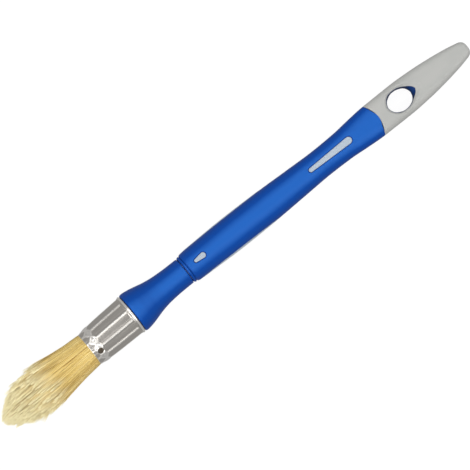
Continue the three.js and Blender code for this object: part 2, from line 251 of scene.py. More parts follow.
def newMaterial(name, **values):
    # a material with its node tree and its shader, whose sockets take the given constant values
    material = bpy.data.materials.new(name)
    material.use_nodes = True
    tree = material.node_tree
    shader = tree.nodes["Principled BSDF"]
    for key, value in values.items():
        shader.inputs[key.replace("_", " ")].default_value = value
    return material, tree, shader


def ramp(tree, factor, stops):
    # colour ramp through (position, hex or grey value) stops
    node = addNode(tree, "ShaderNodeValToRGB", {"Fac": factor})
    elements = node.color_ramp.elements
    elements.remove(elements[1])
    for i, (position, value) in enumerate(stops):
        element = elements.new(position) if i else elements[0]
        element.position = position
        element.color = linear(value) if isinstance(value, str) else [value] * 3 + [1.0]
    return node.outputs["Color"]


def objectNoise(tree, cellMm, detail=2.0, stretch=1.0):
    # noise in Object coordinates whose cells are cellMm across, and stretch times as long along the brush
    scale = 1 / (cellMm * metre)
    coordinates = addNode(tree, "ShaderNodeTexCoord")
    mapping = addNode(tree, "ShaderNodeMapping", {"Vector": coordinates.outputs["Object"]},
                      inputs={"Rotation": (0, -lieAngle, 0), "Scale": (scale / stretch, scale, scale)})
    noise = addNode(tree, "ShaderNodeTexNoise", {"Vector": mapping.outputs["Vector"]},
                    inputs={"Scale": 1.0, "Detail": detail})
    return noise.outputs["Fac"]


def bump(tree, shader, height, strength, distanceMm):
    # fine relief from a height between 0 and 1, distanceMm deep
    node = addNode(tree, "ShaderNodeBump", {"Height": height},
                   inputs={"Strength": strength, "Distance": distanceMm * metre})
    tree.links.new(node.outputs["Normal"], shader.inputs["Normal"])


# blues seen face on, aslant and at the edge: the darker aslant and edge blues are painted shading
softGrip = {"facing": "#1959AD", "slanting": "#034093", "edge": "#003A89", "roughness": 0.42}
# the same blue made darker for the hole's liner: painted shade inside the hanging hole
shadedBore = {"facing": "#0E3A78", "slanting": "#0B2F66", "edge": "#061C40", "roughness": 0.5}
elastomer = {"specular": 0.12, "cloud": 0.04, "cloudMm": 9.0, "grainMm": 0.5, "grainDepthMm": 0.012}


def overmouldedElastomer(name, look):
    # thermoplastic elastomer moulded over the core: saturated blue with a broad satin sheen and a faint
    # grain; its colour is painted brighter face on and darker aslant, as painted shading of the rounded grip
    material, tree, shader = newMaterial(name, IOR=1.5, Specular_IOR_Level=elastomer["specular"])
    slant = addNode(tree, "ShaderNodeLayerWeight", inputs={"Blend": 0.5}).outputs["Facing"]
    patch = objectNoise(tree, elastomer["cloudMm"], detail=3.0, stretch=2.0)
    mixed = addNode(tree, "ShaderNodeMath", {0: patch, 2: slant}, operation="MULTIPLY_ADD",
                    inputs={1: elastomer["cloud"]})
    # painted shading: the blue darkens as the surface turns aslant
    stops = [(0.03, look["facing"]), (0.17, look["slanting"]), (0.6, look["edge"])]
    tree.links.new(ramp(tree, mixed.outputs[0], stops), shader.inputs["Base Color"])
    # the true grain is some 0.1 mm; it is drawn five times coarser, as it would not show at all
    grain = objectNoise(tree, elastomer["grainMm"], detail=1.0)
    stops = [(0.2, look["roughness"] - 0.04), (0.8, look["roughness"] + 0.06)]
    tree.links.new(ramp(tree, grain, stops), shader.inputs["Roughness"])
    bump(tree, shader, grain, 0.3, elastomer["grainDepthMm"])
    return material


greyCore = {"colour": "#A8A8A5", "cloud": "#A2A3A0"}
# the core's grey tinted blue for the window pads: painted blue light bounced from the sleeve around them
padGreyBlueBounce = {"colour": "#A6B1BC", "cloud": "#A1ACB7"}
polypropylene = {"specular": 0.3, "roughness": 0.42, "flowMm": 7.0, "fineMm": 0.6, "fineDepthMm": 0.02}


def mouldedPolypropylene(name, look):
    # injection-moulded polypropylene: pale grey, satin, with faint flow clouding along the part
    p = polypropylene
    material, tree, shader = newMaterial(name, IOR=1.49, Specular_IOR_Level=p["specular"])
    cloud = objectNoise(tree, p["flowMm"], detail=3.0, stretch=2.5)
    stops = [(0.3, look["cloud"]), (0.7, look["colour"])]
    tree.links.new(ramp(tree, cloud, stops), shader.inputs["Base Color"])
    fine = objectNoise(tree, p["fineMm"])
    stops = [(0.2, p["roughness"] - 0.05), (0.8, p["roughness"] + 0.08)]
    tree.links.new(ramp(tree, fine, stops), shader.inputs["Roughness"])
    bump(tree, shader, fine, 0.3, p["fineDepthMm"])
    return material


# colours for the painted light: crest for painted highlight on ribs, foot and pit for painted shade in hollows
# and nail pits
ferruleMetal = {
    "crest": "#DDDAD5", "sheet": "#B2AEA8", "panel": "#B2AEA8", "foot": "#837E77", "pit": "#3A3630",
    "roughness": 0.3, "patchMm": 3.0, "streakMm": 0.6, "streakLength": 30.0, "streakShare": 0.08,
}


def drawnPlatedSteel():
    # nickel-plated steel sheet drawn into a tube: lighter on the stamped beads as painted highlight, darker in
    # the hollows as painted shade, with faint lines along the pull; the first coordinate of the piece is the
    # painted light from the height of its relief
    m = ferruleMetal
    material, tree, shader = newMaterial("drawn_nickel_plated_steel_sheet", Metallic=1.0)
    uv = addNode(tree, "ShaderNodeUVMap", uv_map="along")
    relief = addNode(tree, "ShaderNodeSeparateXYZ", {"Vector": uv.outputs["UV"]}).outputs["X"]
    streaks = objectNoise(tree, m["streakMm"], stretch=m["streakLength"])
    paintedLight = addNode(tree, "ShaderNodeMath", {0: streaks, 2: relief}, operation="MULTIPLY_ADD",
                   inputs={1: m["streakShare"]})
    # the streaks add half of their share on average, so the stops move up by as much
    shift = m["streakShare"] / 2
    stops = [(0.05, m["pit"]), (0.2, m["foot"]), (0.32, m["panel"]), (0.55, m["sheet"]), (0.85, m["crest"])]
    stops = [(height + shift, colour) for height, colour in stops]
    tree.links.new(ramp(tree, paintedLight.outputs[0], stops), shader.inputs["Base Color"])
    patches = objectNoise(tree, m["patchMm"], stretch=2.0)
    stops = [(0.3, m["roughness"] - 0.03), (0.75, m["roughness"] + 0.06)]
    tree.links.new(ramp(tree, patches, stops), shader.inputs["Roughness"])
    return material


# the nail's dark colours are painted shade of the pit round its head
nail = {"dark": "#4E463C", "light": "#6A6156", "roughness": 0.5, "pitMm": 0.5, "pitDepthMm": 0.03}


def nailSteel():
    # bare nail wire: dull, and dark as painted shade of the pit it sits in, pitted where it was set with a
    # punch
    material, tree, shader = newMaterial("punched_nail_steel_with_painted_pit_shade", Metallic=1.0, Roughness=nail["roughness"])
    pits = objectNoise(tree, nail["pitMm"], detail=3.0)
    stops = [(0.3, nail["dark"]), (0.7, nail["light"])]
    tree.links.new(ramp(tree, pits, stops), shader.inputs["Base Color"])
    bump(tree, shader, pits, 0.3, nail["pitDepthMm"])
    return material


beech = {"dark": "#B08752", "light": "#D2AD76", "roughness": 0.65, "grainMm": 0.7, "grainDepthMm": 0.05}


def turnedBeech():
    # turned beech: warm pale wood with grain lines along the plug
    material, tree, shader = newMaterial("turned_beech", Roughness=beech["roughness"])
    grain = objectNoise(tree, beech["grainMm"], detail=3.0, stretch=12.0)
    stops = [(0.3, beech["dark"]), (0.7, beech["light"])]
    tree.links.new(ramp(tree, grain, stops), shader.inputs["Base Color"])
    bump(tree, shader, grain, 0.3, beech["grainDepthMm"])
    return material


epoxy = {"dark": "#6F6040", "light": "#958358", "roughness": 0.3, "cloudMm": 1.5}


def castEpoxy():
    # cast epoxy: amber brown, glossy, cloudy where bristle ends show through
    material, tree, shader = newMaterial("cast_epoxy", Roughness=epoxy["roughness"], IOR=1.55)
    cloud = objectNoise(tree, epoxy["cloudMm"], detail=3.0)
    stops = [(0.3, epoxy["dark"]), (0.7, epoxy["light"])]
    tree.links.new(ramp(tree, cloud, stops), shader.inputs["Base Color"])
    return material


hair = {"dark": "#A67F38", "middle": "#DCBE6A", "light": "#F0DA98", "tip": "#FFF5C8", "roughness": 0.45}


def hogBristle():
    # boiled hog bristle: golden cream, glossy along the hair, each hair its own tone, the split ends paler,
    # and paler still as painted light on the shaded cone of tips
    material, tree, shader = newMaterial("boiled_hog_bristle", Roughness=hair["roughness"], IOR=1.55)
    uv = addNode(tree, "ShaderNodeUVMap", uv_map="along")
    parts = addNode(tree, "ShaderNodeSeparateXYZ", {"Vector": uv.outputs["UV"]})
    stops = [(0.08, hair["dark"]), (0.45, hair["middle"]), (0.9, hair["light"])]
    tone = ramp(tree, parts.outputs["X"], stops)
    # paler towards the ends: partly the real split ends, partly painted light lifting the shaded tips
    paler = ramp(tree, parts.outputs["Y"], [(0.52, 0.0), (0.72, 0.5), (0.92, 1.0)])
    mixed = addNode(tree, "ShaderNodeMix", {"Factor": paler, "A": tone}, data_type="RGBA")
    mixed.inputs["B"].default_value = linear(hair["tip"])
    tree.links.new(mixed.outputs["Result"], shader.inputs["Base Color"])
    return material


bristleLook = hogBristle()
steelLook = drawnPlatedSteel()
nailLook = nailSteel()
gripLook = overmouldedElastomer("overmoulded_soft_touch_elastomer", softGrip)
shadedBoreLook = overmouldedElastomer("overmoulded_elastomer_painted_shaded_in_the_bore", shadedBore)
greyLook = mouldedPolypropylene("injection_moulded_polypropylene", greyCore)
padLook = mouldedPolypropylene("injection_moulded_polypropylene_in_the_windows", padGreyBlueBounce)
print("materials made")


# The ferrule is a drawn tube from mouth to back. Ribs stand between its sunk panels; near the mouth each rib
# parts in two, and the arms of neighbouring ribs cross. A round collar bead ends it at the neck.
ferrule = {
    "columns": 432, "rows": 168, "mouth": 53.1, "back": 79.3, "wall": 0.5,
    "mouthLip": 0.45, "mouthRoll": 0.25, "mouthSink": 0.22, "mouthFlare": 0.28,
    "panels": 12, "turnDeg": 3.8, "cross": 57.3, "bodyReach": 1.7, "archReach": 2.4, "corner": 0.25,
    "bead": 0.22, "beadHalf": 0.58, "ribEnd": (77.0, 77.7), "flat": 0.7, "flatFrom": 2.0,
    "foot": 0.04, "footOut": 1.15, "footHalf": 0.4, "boss": 0.24, "bossOut": (0.2, 1.5), "bossHalf": 2.1,
    "collarFrom": 78.0, "collarAt": 78.65, "collarHalf": 0.6, "collarFoot": 9.85, "collarRadius": 10.3,
    "inside": (77.5, 72, 66, 60, 56),
}
# painted light from the relief, from 0, painted shade in a pit, to 1, painted highlight on a rib; the mouth
# and collar get painted highlight, the inside painted shade
ferrulePaintedLight = {"mouth": 0.8, "collar": 0.9, "inside": 0.25, "hollow": -0.35, "pit": (0.25, 0.35)}
pins = {
    "at": 56.85, "anglesDeg": (29.5, 209.5), "ringRadius": 1.72, "ringHeight": 0.1, "ringHalf": 0.3,
    "pitOuter": 1.63, "pitInner": 1.28, "pitDepth": 0.4, "columns": 40, "headRadius": 1.34, "headSink": 0.1,
    "headDome": 0.06, "headRim": 0.3, "headDepth": 0.8, "firstRing": 0.06, "shank": 0.7,
}
ferruleRadius = smoothThrough([(53.1, 8.5), (56, 8.95), (60, 9.35), (66, 9.65), (77.6, 9.95)])


# Part of x past 1, with the corner rounded: the integral of a smooth step from 1 - corner to 1 + corner.
def softPast(x, corner):
    u = np.clip((x - 1 + corner) / (2 * corner), 0, 1)
    return 2 * corner * (u**3 - 0.5 * u**4) + np.maximum(x - 1 - corner, 0)


# Stamped relief in millimetres. A rib of bell-shaped section runs between each two panels, parts in two near
# the mouth so that the arms of neighbouring ribs cross in the middle of the panel, and closes again; between
# ribs the sheet is flattened towards a chord, and the diamond inside each parted rib is raised.
def stampedRelief(at, angleDeg):
    f = ferrule
    pitch = 360 / f["panels"]
    fromMiddle = (angleDeg - f["turnDeg"] + pitch / 2) % pitch - pitch / 2
    across = np.abs(np.radians(fromMiddle) * ferruleRadius(at))
    half = np.radians(pitch / 2) * ferruleRadius(at)
    away = at - f["cross"]
    reach = np.where(away > 0, f["bodyReach"], f["archReach"])
    share = np.abs(away) / reach
    line = half * (share - softPast(share, f["corner"]))
    slope = half * (1 - smoothStep(1 - f["corner"], 1 + f["corner"], share)) / reach
    offLine = (across - line) / np.sqrt(1 + slope**2)
    bead = f["bead"] * np.exp(-((offLine / f["beadHalf"]) ** 2))
    chord = np.maximum(line**2 - across**2, 0) / (2 * ferruleRadius(at))
    flat = -f["flat"] * chord * smoothStep(0, f["flatFrom"], away)
    foot = -f["foot"] * np.exp(-(((offLine + f["footOut"]) / f["footHalf"]) ** 2))
    boss = f["boss"] * smoothStep(*f["bossOut"], offLine) * smoothStep(f["bossHalf"], 0.0, np.abs(away))
    return (bead + flat + foot) * (1 - smoothStep(*f["ribEnd"], at)) + boss


# Around each nail a raised ring, bell-shaped at ringRadius, and a flat-bottomed pit inside it.
def pinDimple(at, angleDeg):
    total = 0
    for middle in pins["anglesDeg"]:
        swing = np.radians((angleDeg - middle + 180) % 360 - 180) * ferruleRadius(at)
        away = np.hypot(swing, at - pins["at"])
        ring = pins["ringHeight"] * np.exp(-(((away - pins["ringRadius"]) / pins["ringHalf"]) ** 2))
        total = total + ring - pins["pitDepth"] * smoothStep(pins["pitOuter"], pins["pitInner"], away)
    return total


# The outside follows the drawn radius with relief; a rolled mouth and a round collar bead end it; the inside
# is a plain wall. y is minus the sine and z the cosine of the angle from straight up. The first coordinate is
# the painted light: a half, and half of the relief as a share of the bead.
def ferruleShell():
    f, painted = ferrule, ferrulePaintedLight
    angles = columnAngles(f["columns"])
    at = np.linspace(f["mouth"] + f["mouthLip"], f["collarFrom"], f["rows"])[:, None]
    relief = stampedRelief(at, np.degrees(angles)) + pinDimple(at, np.degrees(angles))
    reliefLight = np.clip(relief / f["bead"], painted["hollow"], 1) - smoothStep(*painted["pit"], -relief)
    roll = np.radians(np.linspace(-90, 90, 9)[:-1, None])
    mouthAt = f["mouth"] + f["mouthRoll"] * (1 - np.cos(roll))
    mouthRadius = ferruleRadius(f["mouth"]) - f["mouthSink"] + f["mouthFlare"] * np.sin(roll)
    arc = np.radians(np.linspace(180, 0, 15)[:, None])
    collarAt = f["collarAt"] + f["collarHalf"] * np.cos(arc)
    collarRadius = f["collarFoot"] + (f["collarRadius"] - f["collarFoot"]) * np.sin(arc)
    insideAt = np.array([f["back"], *f["inside"]])[:, None]
    insideRadius = ferruleRadius(insideAt) - f["wall"]
    rows = [(mouthAt, mouthRadius, painted["mouth"]), (at, ferruleRadius(at) + relief, 0.5 + 0.5 * reliefLight),
            (collarAt, collarRadius, painted["collar"]), (insideAt, insideRadius, painted["inside"])]
    stations, radii, paintedLight = (
        np.concatenate([np.broadcast_to(part[k], (len(part[0]), f["columns"])) for part in rows])
        for k in range(3))
    rings = place(stations, -radii * np.sin(angles), radii * np.cos(angles))
    uv = np.stack([paintedLight.ravel(), stations.ravel() / f["back"]], axis=-1)
    return ringSurface("stamped_ferrule", rings, steelLook, loop=True, uv=uv)


# A nail head: a low dome of revolution, height dome times (1 - r^4), with a skirt down into the dimple.
def pinHead(name, angleDeg):
    p = pins
    around = columnAngles(p["columns"])
    dome = np.linspace(p["firstRing"], 1, 12)
    share = np.concatenate([dome, [1.0, p["shank"]]])[:, None]
    rise = np.concatenate([p["headDome"] * (1 - dome**4), [-p["headRim"], -p["headDepth"]]])[:, None]
    height = ferruleRadius(p["at"]) - p["headSink"] + rise
    at = p["at"] + p["headRadius"] * share * np.cos(around)
    swing = p["headRadius"] * share * np.sin(around)
    middle = math.radians(angleDeg)
    y = -height * math.sin(middle) + swing * math.cos(middle)
    z = height * math.cos(middle) + swing * math.sin(middle)
    return ringSurface(name, place(at, y, z), nailLook)


addPiece(ferruleShell(), "ferrule")
for name, angleDeg in zip(("ferrule_pin_front", "ferrule_pin_back"), pins["anglesDeg"]):
    addPiece(pinHead(name + "_head", angleDeg), name)
print("ferrule made")

# The handle: grey core and tail, blue sleeves on neck and grip, grey pads in the windows, blue hole liner.
neck = {"columns": 160, "front": 79.6, "flareTo": 86.0, "waistFrom": 86.4, "back": 111.05,
        "skin": 1.5, "edge": 0.3}
grip = {
    "columns": 300, "front": 111.35, "back": 224.0, "skin": 1.7, "edge": 0.2, "bendFrom": 204.0,
    "rowsFrom": (111.35, 116.0, 124.4, 184.0, 211.4), "rowCounts": (33, 43, 63, 111), "endRows": 22,
    "insideFrom": 220.0, "insideTo": 125.0, "insideRows": 12, "lipAt": 113.5, "lipSkin": 1.4,
}
core = {
    "columns": 96, "spigot": [(68.8, 8.2), (69.6, 9.0), (78.9, 9.0)], "neckRoom": 1.8,
    "neckAt": (79.3, 81, 85, 88, 92, 97, 104, 111), "gripFrom": 115.0, "gripTo": 230.0, "gripRows": 24,
    "room": 2.0,
}
border = {"at": 226.7, "bulge": 2.7, "half": 8.5}
# small and long are drops: front centre and radius, back centre and radius; the grids are a pad's columns,
# rows and share left at the skirt's foot
windows = {
    "small": (117.7, 0.85, 121.8, 1.4), "long": (186.15, 1.05, 208.55, 1.75),
    "sideFront": 115.0, "sideBack": 163.0, "sideHalf": 2.1, "pocket": 0.7, "gap": 0.22, "wall": 0.3,
    "faceFrom": 2.0, "flankFrom": 4.0, "far": 9.0, "edge": 0.4, "faceProud": 0.03, "sideProud": 0.12,
    "skirt": (0.45, 1.0, 1.1), "reach": 40, "firstRing": 0.02,
    "dropGrid": (200, 26, 0.9), "lensGrid": (240, 24, 0.95),
}
tail = {
    "columns": 480, "faceRows": 52, "lastFaceRow": 0.08, "rimRows": 14, "rimShare": 0.12, "firstRimRow": 0.9,
    "roundFrom": 276.5, "end": 280.0, "rimRadius": 0.3, "edge": 0.35, "dishDepth": 0.9, "dishRun": 1.1,
    "reach": 60,
}
# mouth, throat and dish are (degrees from the point, reach) pairs of egg-shaped outlines
hole = {
    "columns": 240, "at": 239.1, "rim": 0.35, "gap": 0.08, "lip": 0.06, "sunk": 0.34, "proud": 0.08,
    "mouth": [(0, 9.3), (9, 8.7), (17, 7.95), (30, 6.85), (47, 6.13), (64, 5.68), (90, 5.35), (126, 5.8),
              (180, 6.55)],
    "throat": [(0, 6.7), (30, 6.25), (60, 5.45), (90, 5.12), (120, 5.2), (150, 5.75), (180, 6.15)],
    "dish": [(0, 13.4), (10, 12.0), (20, 10.2), (45, 7.6), (64, 6.8), (90, 6.35), (126, 6.8), (180, 7.7)],
}

neckRadius = smoothThrough([(79.6, 10.2), (80.8, 10.4), (84.1, 10), (88, 9.1), (92, 8.1), (97.2, 7.3),
                            (104, 6.9), (111.05, 6.8)])
lipCurve = [(111.35, 6.5), (111.6, 6.9), (111.95, 7.08), (112.35, 7.2), (112.55, 7.1), (112.7, 6.75),
            (112.85, 6.8), (113.05, 7.25), (113.5, 7.48), (114.2, 7.62)]
gripWidth = smoothThrough(lipCurve + [
    (115, 7.7), (120, 7.85), (140, 8.3), (160, 8.05), (178, 7.4), (193, 6.9), (205, 7.15), (214, 7.9),
    (224, 8.5), (240, 8.55), (252, 7.95), (262, 6.9), (271, 5.55), (276.7, 4.35), (280, 3.6)])
gripThickness = smoothThrough(lipCurve + [
    (115, 7.65), (120, 7.75), (140, 7.9), (160, 7.3), (187, 6.3), (205, 5.65), (222, 5.1), (228, 5.05),
    (240, 4.9), (262, 4.15), (280, 3.4)])
gripSquareness = smoothThrough([(112.4, 2), (160, 2.05), (205, 2.25), (240, 2.8), (280, 2.5)])


# Where the soft grip ends: a parabola across the handle.
def borderAt(y):
    return border["at"] - border["bulge"] * (y / border["half"]) ** 2


# Rounding of the blunt end: the cube root of 1 - u^3 over the last millimetres.
def bluntEnd(at):
    u = np.clip((at - tail["roundFrom"]) / (tail["end"] - tail["roundFrom"]), 0, 1)
    return np.cbrt(1 - u**3)


# Half-width, half-thickness and squareness of the handle at a station.
def gripSection(at):
    blunt = bluntEnd(at)
    return gripWidth(at) * blunt, gripThickness(at) * blunt, gripSquareness(at)


# Radius of the handle's oval at a polar angle: (|cos/w|^n + |sin/t|^n)^(-1/n).
def ovalRadius(at, angle):
    wide, thick, square = gripSection(at)
    return (np.abs(np.cos(angle) / wide) ** square + np.abs(np.sin(angle) / thick) ** square) ** (-1 / square)


# Height of the handle's upper face over a point of its plan: t (1 - |y/w|^n)^(1/n), held inside the table.
def faceHeight(at, y):
    wide, thick, square = gripSection(at)
    share = np.clip(np.abs(y) / np.maximum(wide, 1e-6), 0, 1)
    return softLimit(thick * (1 - share**square) ** (1 / square), restHalf(at) * bluntEnd(at))


# Distance, negative inside, to a side window's lens: |z| less half times (1 - v^2), v from -1 to 1 along it.
def lensDistance(at, z):
    middle = (windows["sideFront"] + windows["sideBack"]) / 2
    reach = (windows["sideBack"] - windows["sideFront"]) / 2
    v = (at - middle) / reach
    slope = 2 * windows["sideHalf"] * v / reach
    return (np.abs(z) - windows["sideHalf"] * (1 - v * v)) / np.sqrt(1 + slope**2)


# How far the sleeve is let in for the windows: full depth inside each outline grown by the gap, falling to
# nothing over the wall's width outside it.
def windowPocket(at, angle, radius):
    w = windows
    y, z = radius * np.cos(angle), radius * np.sin(angle)
    faces = np.minimum(dropDistance(at, y, *w["small"]), dropDistance(at, y, *w["long"]))
    faces = np.where(np.abs(z) > w["faceFrom"], faces, w["far"])
    sides = np.where(np.abs(y) > w["flankFrom"], lensDistance(at, z), w["far"])
    off = np.minimum(faces, sides) - w["gap"]
    return w["pocket"] * smoothStep(w["wall"] / 2, -w["wall"] / 2, off)


# Grip sleeve: polar oval, let in at the windows, its last rows bent to the curved border; each end rolls over
# a small round edge into a plain inner wall one skin further in.
def gripSleeve():
    g = grip
    angle = columnAngles(g["columns"])
    spans = zip(g["rowsFrom"][:-1], g["rowsFrom"][1:], g["rowCounts"])
    rows = [np.linspace(low, high, count, endpoint=False) for low, high, count in spans]
    rows.append(np.linspace(g["rowsFrom"][-1], g["back"] - g["edge"], g["endRows"]))
    rows = np.concatenate(rows)[:, None]
    side = gripWidth(rows) * np.cos(angle)
    at = rows + smoothStep(g["bendFrom"], g["back"], rows) * (borderAt(side) - g["back"])
    radius = ovalRadius(at, angle)
    outer = radius - windowPocket(at, angle, radius)
    roll = np.radians(np.array([30.0, 60.0, 90.0]))[:, None]
    endAt = at[-1:] + g["edge"] * np.sin(roll)
    endRadius = ovalRadius(endAt, angle) - g["edge"] * (1 - np.cos(roll))
    insideRows = np.linspace(g["insideFrom"], g["insideTo"], g["insideRows"])
    insideRows = np.concatenate([insideRows, [g["lipAt"], g["front"]]])[:, None]
    insideAt = np.concatenate([at[-1:] + g["edge"], insideRows * np.ones_like(angle)])
    skin = np.where(insideAt > g["front"], g["skin"], g["lipSkin"])
    insideRadius = ovalRadius(np.maximum(insideAt, g["lipAt"]), angle) - skin
    stations = np.concatenate([at, endAt, insideAt])
    radii = np.concatenate([outer, endRadius, insideRadius])
    height = softLimit(radii * np.sin(angle), restHalf(stations))
    rings = place(stations, radii * np.cos(angle), height)
    return ringSurface("blue_grip_sleeve", rings, gripLook, loop=True)


# Neck sleeve: a flared tube turned from its radius curve, with rolled ends and a plain bore.
def neckSleeve():
    n = neck
    angle = columnAngles(n["columns"])
    roll = np.radians(np.array([90.0, 60.0, 30.0]))
    over, under = n["edge"] * np.sin(roll), n["edge"] * (1 - np.cos(roll))
    flare = np.linspace(n["front"] + n["edge"], n["flareTo"], 30)
    waist = np.linspace(n["waistFrom"], n["back"] - n["edge"], 52)
    inside = np.linspace(n["back"], n["front"], 8)
    body = np.concatenate([flare, waist])
    at = np.concatenate([n["front"] + n["edge"] - over, body, n["back"] - n["edge"] + over[::-1], inside])
    radius = np.concatenate([neckRadius(n["front"]) - under, neckRadius(body),
                             neckRadius(n["back"]) - under[::-1], neckRadius(inside) - n["skin"]])
    at, radius = at[:, None], radius[:, None]
    rings = place(at, radius * np.cos(angle), radius * np.sin(angle))
    return ringSurface("blue_neck_sleeve", rings, gripLook, loop=True)


# Handle core's rod inside the sleeves: a turned spigot in front, the neck less its sleeve, then the handle's
# oval less skin and a hair of room.
def coreRod():
    c = core
    angle = columnAngles(c["columns"])
    spigotAt, spigotRadius = np.array(c["spigot"]).T[:, :, None]
    neckAt = np.array(c["neckAt"])[:, None]
    neckCore = neckRadius(np.maximum(neckAt, neck["front"])) - c["neckRoom"]
    gripAt = np.linspace(c["gripFrom"], c["gripTo"], c["gripRows"])[:, None]
    turned = np.concatenate([spigotRadius, neckCore]) * np.ones_like(angle)
    radius = np.concatenate([turned, ovalRadius(gripAt, angle) - c["room"]])
    at = np.concatenate([spigotAt, neckAt, gripAt])
    rings = place(at, radius * np.cos(angle), radius * np.sin(angle))
    return ringSurface("grey_core_rod", rings, greyLook)


# Rays of a window's pad from its middle to its outline: at, the way across, and how far each point lies under
# the pad's face: edge - root(edge^2 - inside^2) round the rim, then a skirt down the pocket.
def padRays(outline, centre, columns, rows, skirtShare):
    edge = windows["edge"]
    angle = evenAngles(outline, centre, windows["reach"], columns)[None, :]
    far = reachOutline(outline, centre, angle, windows["reach"])
    share = 1 - (1 - np.linspace(windows["firstRing"], 1, rows)) ** 2
    share = np.concatenate([share, [1, 1, skirtShare]])[:, None]
    at, across = centre + share * far * np.cos(angle), share * far * np.sin(angle)
    inside = np.clip(edge + outline(at, across), 0, edge)
    under = edge - np.sqrt(edge**2 - inside**2)
    under[-3:] += np.array(windows["skirt"])[:, None]
    return at, across, under


# A pad that fills a drop window, on the handle's face; face is 1 above and -1 below.
def dropPad(name, drop, face):
    outline = lambda at, y: dropDistance(at, y, *drop)
    at, y, under = padRays(outline, (drop[0] + drop[2]) / 2, *windows["dropGrid"])
    z = faceHeight(at, y) - under + windows["faceProud"]
    return ringSurface(name, place(at, y, face * z), padLook)


# A pad in a side window, on the flank of the handle: w (1 - |z/t|^n)^(1/n); side is 1 left and -1 right.
def sidePad(name, side):
    middle = (windows["sideFront"] + windows["sideBack"]) / 2
    at, z, under = padRays(lensDistance, middle, *windows["lensGrid"])
    wide, thick, square = gripSection(at)
    flank = wide * (1 - np.clip(np.abs(z) / thick, 0, 1) ** square) ** (1 / square)
    y = flank + windows["sideProud"] - under
    return ringSurface(name, place(at, side * y, z), padLook)


mouthReach, throatReach, dishReach = (eggReach(hole[part]) for part in ("mouth", "throat", "dish"))


# Depth of the dish round the hanging hole: a smooth step from the dish's outline in to the hole's mouth.
def dishDepth(at, y):
    angle = np.arctan2(y, at - hole["at"])
    away = np.hypot(y, at - hole["at"])
    share = (dishReach(angle) - away) / (dishReach(angle) - mouthReach(angle))
    return tail["dishDepth"] * smoothStep(0, tail["dishRun"], share)


# Height of the tail's face: the handle's face less the dish, times the fourth root of 1 - v^4, which closes
# it over edge, under the sleeve's end.
def tailHeight(at, y):
    v = np.clip((borderAt(y) - at) / tail["edge"], 0, 1)
    return (faceHeight(at, y) - dishDepth(at, y)) * (1 - v**4) ** 0.25


# Negative inside the tail's outline: the handle's sides, the sleeve's curved border and the blunt end.
def tailOutline(at, y):
    wide, _, _ = gripSection(np.minimum(at, tail["end"]))
    sides = np.abs(y) - wide
    front = borderAt(y) - tail["edge"] - at
    return np.maximum(np.maximum(sides, front), at - tail["end"])


# Tail: rays from the hanging hole to the outline, row by row over the upper face, down the hole's wall with
# rounded rims, and back along the lower face, so the surface closes on itself like a ring with a hole.
def tailPaddle():
    t = tail
    angle = evenAngles(tailOutline, hole["at"], t["reach"], t["columns"])[None, :]
    far = reachOutline(tailOutline, hole["at"], angle, t["reach"])
    near = mouthReach(angle) + hole["lip"]
    faceShare = np.sin(np.linspace(1, t["lastFaceRow"], t["faceRows"]) * math.pi / 2)
    rimShare = t["rimShare"] * np.linspace(t["firstRimRow"], 0, t["rimRows"]) ** 2
    reach = near + (far - near) * np.concatenate([faceShare, rimShare])[:, None]
    at, y = hole["at"] + reach * np.cos(angle), reach * np.sin(angle)
    past = np.clip(t["rimRadius"] - (reach - near), 0, t["rimRadius"])
    z = tailHeight(at, y) - (t["rimRadius"] - np.sqrt(t["rimRadius"] ** 2 - past**2))
    wall = mouthReach(angle) + hole["rim"] + hole["gap"]
    wallShare = np.linspace(1, -1, 5)[:, None]
    wallAt = np.repeat(hole["at"] + wall * np.cos(angle), len(wallShare), 0)
    wallY = np.repeat(wall * np.sin(angle), len(wallShare), 0)
    stations = np.concatenate([at, wallAt, at[:0:-1]])
    sides = np.concatenate([y, wallY, y[:0:-1]])
    heights = np.concatenate([z, z[-1:] * wallShare, -z[:0:-1]])
    return ringSurface("grey_tail_paddle", place(stations, sides, heights), greyLook, loop=True)


# Liner of the hanging hole: egg outlines that narrow from the mouths to the throat as the square of the
# height, a thin round rim at each face, and a straight outer wall.
def holeLiner():
    angle = columnAngles(hole["columns"])
    way = np.cos(np.linspace(0, math.pi, 33))[:, None]
    inner = throatReach(angle) + (mouthReach(angle) - throatReach(angle)) * way**2
    roll = np.radians(np.linspace(0, 180, 9))[1:, None]
    rim = mouthReach(angle) + hole["rim"] * (1 - np.cos(roll)) / 2
    outer = rim[-1:]
    outerAt, outerY = hole["at"] + outer * np.cos(angle), outer * np.sin(angle)
    high = faceHeight(outerAt, outerY) - dishDepth(outerAt, outerY) - hole["sunk"] - hole["proud"]
    lift = hole["proud"] * np.sin(roll)
    reach = np.concatenate([inner, rim, outer, rim[::-1]])
    heights = np.concatenate([high * way, -(high + lift), high * 0, (high + lift)[::-1]])
    at, y = hole["at"] + reach * np.cos(angle), reach * np.sin(angle)
    # the liner takes the darker blue, painted shade of the hole's inside
    return ringSurface("blue_hole_liner", place(at, y, heights), shadedBoreLook, loop=True)


addPiece(gripSleeve(), "grip_sleeve")
addPiece(neckSleeve(), "neck_sleeve")
addPiece(holeLiner(), "hang_hole_liner")
addPiece(coreRod(), "handle_core")
addPiece(tailPaddle(), "handle_core")
for face, word in ((1, "top"), (-1, "under")):
    for size in ("small", "long"):
        pad = dropPad(f"grey_{size}_window_{word}", windows[size], face)
        addPiece(pad, "handle_core")
for side, word in ((1, "left"), (-1, "right")):
    addPiece(sidePad("grey_side_window_" + word, side), "handle_core")
print("handle made")

